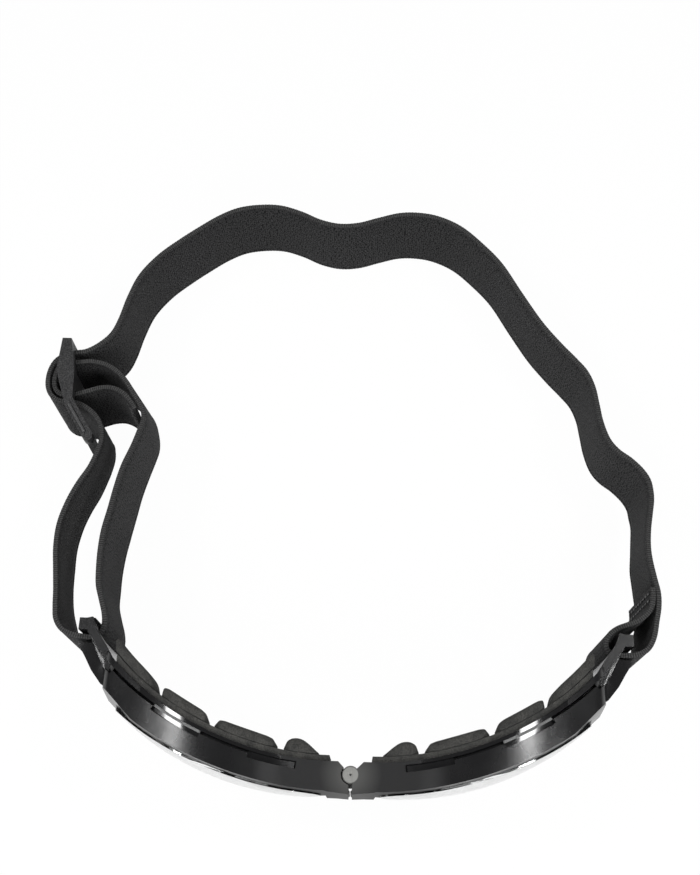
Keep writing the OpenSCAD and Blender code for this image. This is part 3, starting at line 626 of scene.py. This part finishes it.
# Radius of the glued face of the pads, and how much it grows with the height
GLUED_RADIUS = 82.65
GLUED_LEAN = 0.042
# Where along a nose pad its crest is, how deep its outer end starts, and how far it falls
NOSE_CREST = 0.6
NOSE_START = 0.2
NOSE_FALL = 0.25
NOSE_CURVE = 1.3

foam = new_material("charcoal_foam", Roughness=0.95, Sheen_Weight=0.05, Sheen_Roughness=0.6,
                    Specular_IOR_Level=0.12)
place = add_node(foam, "ShaderNodeTexCoord")
cells = add_node(foam, "ShaderNodeTexVoronoi", Scale=3000.0)
patch = add_node(foam, "ShaderNodeTexNoise", Scale=300.0, Detail=4.0)
foam_shade = add_node(foam, "ShaderNodeMapRange", From_Min=0.3, From_Max=0.7, To_Min=0.0,
                      To_Max=1.0)
foam_tone = add_node(foam, "ShaderNodeMix", data_type="RGBA")
foam_tone.inputs["A"].default_value = (0.032, 0.032, 0.031, 1)
foam_tone.inputs["B"].default_value = (0.062, 0.061, 0.057, 1)
pore_shade = add_node(foam, "ShaderNodeMapRange", From_Min=0.15, From_Max=0.75, To_Min=1.25,
                      To_Max=0.65)
foam_pores = add_node(foam, "ShaderNodeMix", data_type="RGBA", blend_type="MULTIPLY")
foam_pores.inputs["Factor"].default_value = 1.0
cell_bump = add_node(foam, "ShaderNodeBump", Strength=0.7, Distance=0.00018)
join(foam, place.outputs["Object"], cells.inputs["Vector"])
join(foam, place.outputs["Object"], patch.inputs["Vector"])
join(foam, patch.outputs["Fac"], foam_shade.inputs["Value"])
join(foam, foam_shade.outputs["Result"], foam_tone.inputs["Factor"])
join(foam, foam_tone.outputs["Result"], foam_pores.inputs["A"])
join(foam, cells.outputs["Distance"], pore_shade.inputs["Value"])
join(foam, pore_shade.outputs["Result"], foam_pores.inputs["B"])
join(foam, foam_pores.outputs["Result"], shader_of(foam).inputs["Base Color"])
join(foam, cells.outputs["Distance"], cell_bump.inputs["Height"])
join(foam, cell_bump.outputs["Normal"], shader_of(foam).inputs["Normal"])


def arc_place(spot):
    """Place of a point on the frame's arc: across, behind the axis and along it."""
    across = abs(1000 * spot.x - HINGE_AT.x) - ARC_AT[0]
    up = 1000 * spot.z - ARC_AT[2]
    return (across * math.cos(FLARE) + up * math.sin(FLARE),
            HINGE_AT.y + ARC_AT[1] - 1000 * spot.y,
            up * math.cos(FLARE) - across * math.sin(FLARE))


def stretch_temple_pad(cushion, way):
    """Draws the upper end of a temple pad out along the rim, towards the strap."""
    angles = [math.atan2(*arc_place(v.co)[:2]) for v in cushion.data.vertices]
    first, last = min(angles), max(angles)
    for vertex, angle in zip(cushion.data.vertices, angles):
        turned, back, along = arc_place(vertex.co)
        radius = math.hypot(turned, back)
        reached = first + (angle - first) * (TEMPLE_END - first) / (last - first)
        drop = TEMPLE_DROP * radius * (reached - angle)
        turned, back = radius * math.sin(reached), radius * math.cos(reached)
        across = turned * math.cos(FLARE) - along * math.sin(FLARE) + ARC_AT[0]
        up = turned * math.sin(FLARE) + along * math.cos(FLARE) + ARC_AT[2] - drop
        vertex.co = Vector((HINGE_AT.x + way * across, HINGE_AT.y + ARC_AT[1] - back, up)) / 1000


def dome_nose_pad(cushion):
    """Gives a nose pad a crest that falls away towards the bridge."""
    sideways = [abs(1000 * v.co.x - HINGE_AT.x) for v in cushion.data.vertices]
    first, last = min(sideways), max(sideways)
    for vertex, x in zip(cushion.data.vertices, sideways):
        turned, back, along = arc_place(vertex.co)
        depth = max(GLUED_RADIUS + along * GLUED_LEAN - math.hypot(turned, back), 0)
        part = (x - first) / (last - first)
        rise = math.sin(math.pi / 2 * min(part / NOSE_CREST, 1)) ** NOSE_CURVE
        fall = 1 - NOSE_FALL * max((part - NOSE_CREST) / (1 - NOSE_CREST), 0) ** 2
        vertex.co.y += depth * ((NOSE_START + rise) * fall - 1) / 1000


for side in ("left", "right"):
    base = merged_copy("foam_base_" + side, "foam_strip_" + side)
    round_edges(base, BASE_ROUND)
    base.data.materials.append(foam)
    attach(base, side + "_half")
    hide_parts("foam_base_" + side)
    for pad in PADS:
        cushion = merged_copy("foam_" + pad + "_" + side, "pad_" + pad + "_" + side)
        apply_modifier(cushion, "REMESH", mode="VOXEL", voxel_size=PAD_CELL)
        apply_modifier(cushion, "SMOOTH", factor=0.5, iterations=5)
        if pad == "temple":
            stretch_temple_pad(cushion, 1 if side == "right" else -1)
        if pad == "nose":
            dome_nose_pad(cushion)
        bpy.ops.object.shade_smooth()
        cushion.data.materials.append(foam)
        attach(cushion, side + "_half")
        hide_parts("foam_" + pad + "_" + side)

# Slider
# A two-bar buckle of matt black plastic that the elastic passes through twice. Its rails are
# drawn in smooth curves; a narrow strip on the foot of its upper rail is painted paler as a
# highlight.
RAIL_CURVE = 0.0035
RAIL_TURNS = (5, 38)
RAIL_ROUND = 0.00045
FOOT_AT = (-97.9, 115.6, 38.0)
FOOT_TURN = math.radians(32.8)
FOOT_STRIP = (0.001, 0.0125, 0.0016)
STRIP_ROUND = 0.0003
UPRIGHT = 1e-5

buckle_plastic = new_material("black_grained_plastic")
speckle_place = add_node(buckle_plastic, "ShaderNodeTexCoord")
speckle = add_node(buckle_plastic, "ShaderNodeTexNoise", Scale=2400.0, Detail=2.0)
speckle_tone = add_node(buckle_plastic, "ShaderNodeValToRGB")
speckle_tone.color_ramp.elements[0].position = 0.4
speckle_tone.color_ramp.elements[0].color = (0.006, 0.006, 0.0065, 1)
speckle_tone.color_ramp.elements[1].position = 0.7
speckle_tone.color_ramp.elements[1].color = (0.055, 0.055, 0.056, 1)
join(buckle_plastic, speckle_place.outputs["Object"], speckle.inputs["Vector"])
join(buckle_plastic, speckle.outputs["Fac"], speckle_tone.inputs["Fac"])
join(buckle_plastic, speckle_tone.outputs["Color"],
     shader_of(buckle_plastic).inputs["Base Color"])
join(buckle_plastic, give_finish(buckle_plastic, 1500.0, 0.3, 0.42, 0.58),
     shader_of(buckle_plastic).inputs["Roughness"])

# Painted highlight: the strip's pale grey stands in for the glints along it
strip_highlight_plastic = new_material("strip_highlight_plastic", Base_Color=(0.055, 0.055, 0.056, 1))
strip_place = add_node(strip_highlight_plastic, "ShaderNodeTexCoord")
streaks = add_node(strip_highlight_plastic, "ShaderNodeTexNoise", Scale=3000.0, Detail=3.0)
streak_gloss = add_node(strip_highlight_plastic, "ShaderNodeMapRange", To_Min=0.2, To_Max=0.5)
join(strip_highlight_plastic, strip_place.outputs["Object"], streaks.inputs["Vector"])
join(strip_highlight_plastic, streaks.outputs["Fac"], streak_gloss.inputs["Value"])
join(strip_highlight_plastic, streak_gloss.outputs["Result"],
     shader_of(strip_highlight_plastic).inputs["Roughness"])

# The upright edges where a rail's side turns a little are drawn out into one curve
buckle = merged_copy("slider", "buckle")
normals_at = {}
for face in buckle.data.polygons:
    for key in face.edge_keys:
        normals_at.setdefault(key, []).append(face.normal.copy())
bpy.ops.object.mode_set(mode="EDIT")
bpy.ops.mesh.select_mode(type="EDGE")
bpy.ops.mesh.select_all(action="DESELECT")
bpy.ops.object.mode_set(mode="OBJECT")
for edge in buckle.data.edges:
    one, other = (buckle.data.vertices[v].co for v in edge.vertices)
    turn = math.degrees(normals_at[edge.key][0].angle(normals_at[edge.key][-1]))
    edge.select = RAIL_TURNS[0] < turn < RAIL_TURNS[1] and (one - other).xy.length < UPRIGHT
bpy.ops.object.mode_set(mode="EDIT")
bpy.ops.mesh.bevel(offset=RAIL_CURVE, segments=6, affect="EDGES", clamp_overlap=True)
bpy.ops.mesh.select_mode(type="VERT")
bpy.ops.object.mode_set(mode="OBJECT")
round_edges(buckle, RAIL_ROUND, segments=3)
buckle.data.materials.append(buckle_plastic)

bpy.ops.object.select_all(action="DESELECT")
bpy.ops.mesh.primitive_cube_add(size=1, location=from_hinge(*FOOT_AT),
                                rotation=(0, 0, FOOT_TURN), scale=FOOT_STRIP)
strip = bpy.context.object
bpy.ops.object.transform_apply(location=True, rotation=True, scale=True)
round_edges(strip, STRIP_ROUND, segments=3)
strip.data.materials.append(strip_highlight_plastic)
buckle.select_set(True)
bpy.context.view_layer.objects.active = buckle
bpy.ops.object.join()
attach(buckle, "slider_unit")
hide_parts("slider")

# Hinge pin
# A short pin of plain turned steel, pressed through the bores of the knuckles, with fine
# rings round it from the turning.
steel = new_material("turned_steel", Base_Color=(0.55, 0.56, 0.58, 1), Metallic=1.0)
place = add_node(steel, "ShaderNodeTexCoord")
ring_scale = add_node(steel, "ShaderNodeMapping", Scale=(200, 200, 9000))
rings = add_node(steel, "ShaderNodeTexNoise", Scale=1.0, Detail=3.0)
ring_gloss = add_node(steel, "ShaderNodeMapRange", From_Min=0.3, From_Max=0.7, To_Min=0.2,
                      To_Max=0.42)
ring_bump = add_node(steel, "ShaderNodeBump", Strength=0.2, Distance=0.00002)
join(steel, place.outputs["Object"], ring_scale.inputs["Vector"])
join(steel, ring_scale.outputs["Vector"], rings.inputs["Vector"])
join(steel, rings.outputs["Fac"], ring_gloss.inputs["Value"])
join(steel, ring_gloss.outputs["Result"], shader_of(steel).inputs["Roughness"])
join(steel, rings.outputs["Fac"], ring_bump.inputs["Height"])
join(steel, ring_bump.outputs["Normal"], shader_of(steel).inputs["Normal"])
pin = bpy.data.objects["hinge_pin"]
pin.data.materials.clear()
pin.data.materials.append(steel)

# Stitches
# Rows of black bonded thread hold each sewn end of the elastic down on the band, one at the
# right frame and one at the slider. Every stitch is rounded.
STITCH_ROUND = 0.00012

thread = new_material("black_thread", Roughness=0.7, Sheen_Weight=0.2)
place = add_node(thread, "ShaderNodeTexCoord")
plies = add_node(thread, "ShaderNodeTexNoise", Scale=3500.0, Detail=2.0)
ply_tone = add_node(thread, "ShaderNodeMix", data_type="RGBA")
ply_tone.inputs["A"].default_value = (0.01, 0.01, 0.0105, 1)
ply_tone.inputs["B"].default_value = (0.032, 0.032, 0.033, 1)
ply_bump = add_node(thread, "ShaderNodeBump", Strength=0.5, Distance=0.00005)
join(thread, place.outputs["Object"], plies.inputs["Vector"])
join(thread, plies.outputs["Fac"], ply_tone.inputs["Factor"])
join(thread, ply_tone.outputs["Result"], shader_of(thread).inputs["Base Color"])
join(thread, plies.outputs["Fac"], ply_bump.inputs["Height"])
join(thread, ply_bump.outputs["Normal"], shader_of(thread).inputs["Normal"])

for node in ("stitches_right", "stitches_slider"):
    stitches = merged_copy(node, node.replace("stitches", "sewing"))
    round_edges(stitches, STITCH_ROUND, segments=3)
    stitches.data.materials.append(thread)
    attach(stitches, "right_side" if node == "stitches_right" else "slider_unit")
    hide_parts(node)
